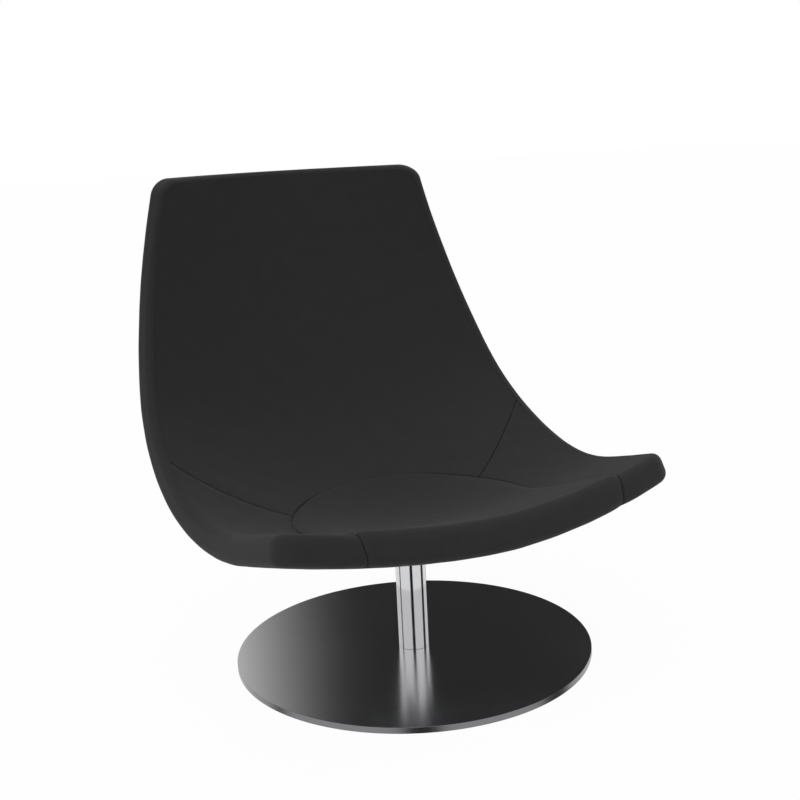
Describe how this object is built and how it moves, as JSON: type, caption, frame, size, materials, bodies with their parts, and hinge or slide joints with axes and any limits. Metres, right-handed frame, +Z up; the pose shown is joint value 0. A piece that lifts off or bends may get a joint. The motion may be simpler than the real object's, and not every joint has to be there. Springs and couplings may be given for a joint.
{
  "type": "pedestal swivel armchair",
  "caption": "Armless lounge chair with a padded one-piece bucket shell that turns on a steel column and a round floor plate.",
  "frame": {"origin": "middle of the floor pad's underside, on the swivel axis, at floor level", "axes": "+Z up along the column, the sitter faces -Y, +X is to the sitter's left"},
  "size_m": [0.7404, 0.7852, 0.8079],
  "materials": {
    "black_cloth": "matt near-black wool upholstery cloth, sewn panels without topstitching",
    "foam": "upholstery foam",
    "plywood": "bare plywood",
    "brushed_steel": "brushed stainless steel",
    "polished_steel": "polished steel tube",
    "plain_steel": "plain steel, oiled",
    "zinc_steel": "bright zinc plated steel",
    "brass": "brass",
    "black_plastic": "moulded bearing plastic",
    "white_plastic": "low-friction washer plastic",
    "felt": "pressed black felt"
  },
  "bodies": {
    "base": {"floor_pad": "felt", "floor_plate": "brushed_steel", "column_tube": "polished_steel", "column_plug": "plain_steel", "plate_screw": "zinc_steel", "upper_bush": "black_plastic", "lower_bush": "black_plastic"},
    "seat": {"thrust_washer": "white_plastic", "spindle": "plain_steel", "retaining_washer": "zinc_steel", "circlip": "plain_steel", "seat_plate": "plain_steel", "plate_bolt_1": "zinc_steel", "plate_bolt_2": "zinc_steel", "plate_bolt_3": "zinc_steel", "plate_bolt_4": "zinc_steel", "plate_washer_1": "zinc_steel", "plate_washer_2": "zinc_steel", "plate_washer_3": "zinc_steel", "plate_washer_4": "zinc_steel", "threaded_insert_1": "brass", "threaded_insert_2": "brass", "threaded_insert_3": "brass", "threaded_insert_4": "brass", "mounting_block": "plywood", "plywood_shell": "plywood", "edge_strip": "foam", "front_foam": "foam", "rear_foam": "foam", "seat_pad_foam": "foam", "cover_seat_pad": "black_cloth", "cover_wing_right": "black_cloth", "cover_wing_left": "black_cloth", "cover_back": "black_cloth", "cover_border": "black_cloth", "cover_rear": "black_cloth"}
  },
  "joints": [
    {"name": "seat_swivel", "type": "hinge", "parent": "base", "child": "seat", "pos_m": [0, 0, 0.15], "axis": [0, 0, 1], "continuous": true}
  ]
}
